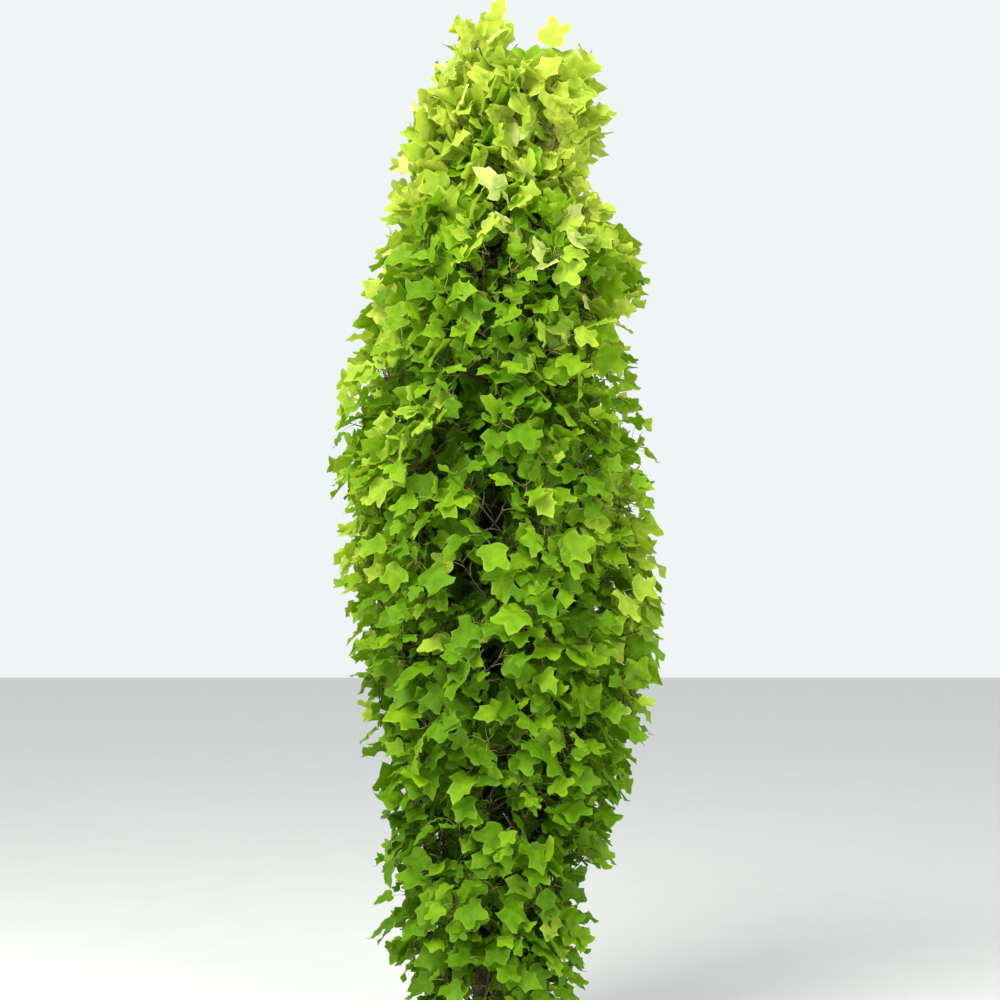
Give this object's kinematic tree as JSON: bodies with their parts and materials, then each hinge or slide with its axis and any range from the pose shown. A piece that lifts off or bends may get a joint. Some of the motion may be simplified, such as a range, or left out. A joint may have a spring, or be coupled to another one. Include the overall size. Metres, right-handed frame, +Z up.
{
  "type": "columnar tulip tree",
  "caption": "Young whole tree with a narrow upright crown: steep boughs off one straight trunk, dense with broad four-lobed leaves.",
  "frame": {"origin": "centre of the flat cut under the trunk, at ground level", "axes": "+Z up from the ground to the leader; +X to the viewer's right and -Y towards a viewer in front"},
  "size_m": [1.2792, 1.2517, 4.1],
  "materials": {
    "bark": "matte",
    "foliage": "satin"
  },
  "bodies": {
    "root": {"trunk": "bark", "bough_01": "bark", "bough_02": "bark", "bough_03": "bark", "bough_04": "bark", "bough_05": "bark", "bough_06": "bark", "bough_07": "bark", "bough_08": "bark", "bough_09": "bark", "bough_10": "bark", "bough_11": "bark", "bough_12": "bark", "bough_13": "bark", "bough_14": "bark", "bough_15": "bark", "bough_16": "bark", "foliage_01": "foliage", "foliage_02": "foliage", "foliage_03": "foliage", "foliage_04": "foliage", "foliage_05": "foliage", "foliage_06": "foliage", "foliage_07": "foliage", "foliage_08": "foliage", "foliage_09": "foliage", "foliage_10": "foliage", "foliage_11": "foliage", "foliage_12": "foliage", "foliage_13": "foliage", "foliage_14": "foliage", "foliage_15": "foliage", "foliage_16": "foliage", "foliage_top": "foliage"}
  },
  "joints": []
}
